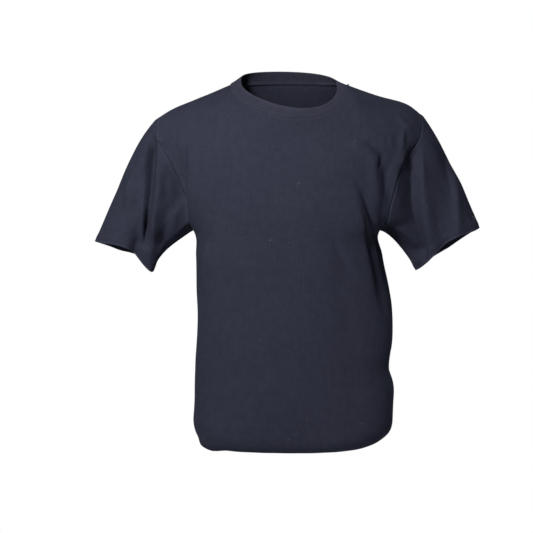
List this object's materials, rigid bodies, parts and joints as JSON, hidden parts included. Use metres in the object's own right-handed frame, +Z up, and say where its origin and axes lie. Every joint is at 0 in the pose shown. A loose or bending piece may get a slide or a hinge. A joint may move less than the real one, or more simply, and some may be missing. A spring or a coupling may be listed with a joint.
{
  "type": "crew neck t-shirt",
  "caption": "Short-sleeved crew neck t-shirt, filled out as if worn, hollow with open neck, cuffs and turned-under hem.",
  "frame": {"origin": "midway between the neck ends of the two shoulder seams, where a wearer's shoulders hold the shirt", "axes": "+X to the wearer's left, -Y out of the chest, +Z up"},
  "size_m": [0.6873, 0.2626, 0.6699],
  "materials": {
    "jersey": "dark navy cotton single jersey, matt with a soft sheen",
    "rib_knit": "dark navy cotton rib knit, matt"
  },
  "bodies": {
    "root": {"front": "jersey", "back": "jersey", "sleeve_right_arm": "jersey", "sleeve_left_arm": "jersey", "neck_rib": "rib_knit"}
  },
  "joints": []
}
